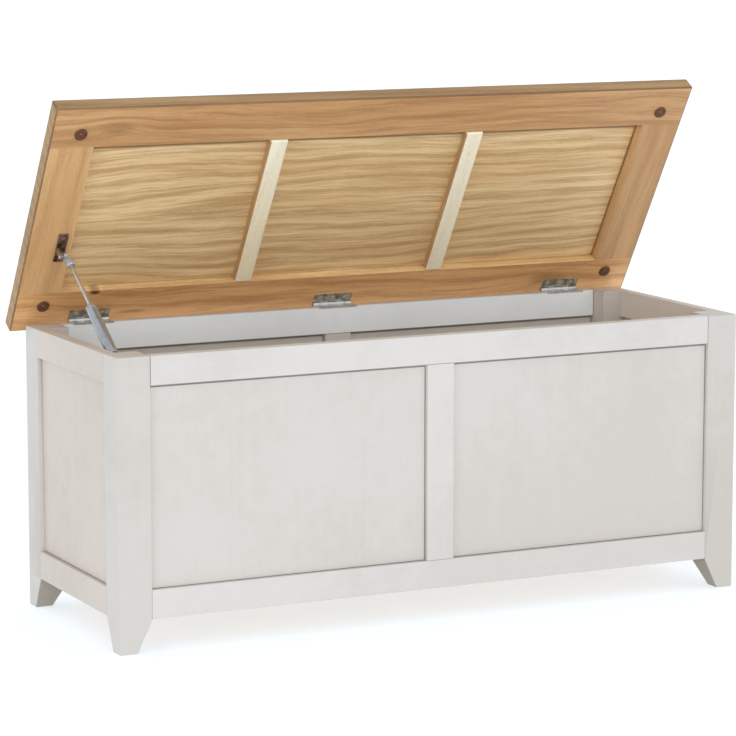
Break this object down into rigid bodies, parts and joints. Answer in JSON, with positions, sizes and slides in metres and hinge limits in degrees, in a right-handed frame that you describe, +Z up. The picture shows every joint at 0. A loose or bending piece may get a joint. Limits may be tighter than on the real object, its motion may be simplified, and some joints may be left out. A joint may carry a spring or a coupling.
{
  "type": "storage bench",
  "caption": "Low white painted frame-and-panel storage bench with a hinged oak lid that a gas stay holds open over the box.",
  "frame": {"origin": "middle of the outline on the floor, with the lid open as stored", "axes": "+X runs along the bench towards its right end as seen from the front, the front faces -Y, +Z is up"},
  "size_m": [1.143, 0.4322, 0.8357],
  "materials": {
    "white_paint": "satin off-white paint, brushed on wood",
    "oak": "oiled oak, satin, grain along each member",
    "pale_batten": "bare pale hardwood, sanded",
    "plywood": "plain plywood, unfinished",
    "pine": "planed softwood, unfinished",
    "hinge_nickel": "nickel-plated steel",
    "stay_chrome": "polished rod and bright end piece",
    "stay_zinc": "grey steel tube",
    "bracket_bronze": "dark bronze coating",
    "buffer_rubber": "brown rubber, matte"
  },
  "bodies": {
    "carcass": {"leg_front_left": "white_paint", "leg_front_right": "white_paint", "leg_rear_left": "white_paint", "leg_rear_right": "white_paint", "front_top_rail": "white_paint", "front_bottom_rail": "white_paint", "front_muntin": "white_paint", "front_panel_a": "white_paint", "front_panel_b": "white_paint", "rear_top_rail": "white_paint", "rear_bottom_rail": "white_paint", "rear_muntin": "white_paint", "rear_panel_a": "white_paint", "rear_panel_b": "white_paint", "left_top_rail": "white_paint", "left_bottom_rail": "white_paint", "left_panel": "white_paint", "right_top_rail": "white_paint", "right_bottom_rail": "white_paint", "right_panel": "white_paint", "storage_floor": "plywood", "front_cleat": "pine", "rear_cleat": "pine", "left_cleat": "pine", "right_cleat": "pine", "floor_bearer": "pine", "hinge_left_lower_leaf": "hinge_nickel", "hinge_left_pin": "hinge_nickel", "hinge_centre_lower_leaf": "hinge_nickel", "hinge_centre_pin": "hinge_nickel", "hinge_right_lower_leaf": "hinge_nickel", "hinge_right_pin": "hinge_nickel", "stay_lower_bracket": "stay_zinc", "stay_lower_screw_1": "stay_zinc", "stay_lower_screw_2": "stay_zinc"},
    "lid": {"lid_front_rail": "oak", "lid_rear_rail": "oak", "lid_left_stile": "oak", "lid_right_stile": "oak", "lid_panel": "oak", "lid_batten_left": "pale_batten", "lid_batten_right": "pale_batten", "buffer_front_left": "buffer_rubber", "buffer_front_right": "buffer_rubber", "buffer_rear_left": "buffer_rubber", "buffer_rear_right": "buffer_rubber", "hinge_left_upper_leaf": "hinge_nickel", "hinge_centre_upper_leaf": "hinge_nickel", "hinge_right_upper_leaf": "hinge_nickel", "stay_upper_bracket": "bracket_bronze", "stay_upper_screw_1": "bracket_bronze", "stay_upper_screw_2": "bracket_bronze"},
    "stay_cylinder": {"stay_cylinder": "stay_zinc"},
    "stay_rod": {"stay_rod": "stay_chrome", "stay_rod_end": "stay_chrome"}
  },
  "joints": [
    {"name": "lid_hinge", "type": "hinge", "parent": "carcass", "child": "lid", "pos_m": [0, 0.18489, 0.4615], "axis": [1, 0, 0], "range_deg": [0, 58.3]},
    {"name": "stay_pivot", "type": "hinge", "parent": "carcass", "child": "stay_cylinder", "pos_m": [-0.512, -0.11711, 0.4408], "axis": [1, 0, 0], "range_deg": [-35.3, 0]},
    {"name": "stay_slide", "type": "slide", "parent": "stay_cylinder", "child": "stay_rod", "axis": [0, 0.825, 0.5651], "range_m": [-0.09649, 0]}
  ],
  "couplings": [
    {"joint": "stay_pivot", "follows": "lid_hinge", "ratio": -0.6021},
    {"joint": "stay_slide", "follows": "lid_hinge", "m_per_rad": -0.094628}
  ]
}
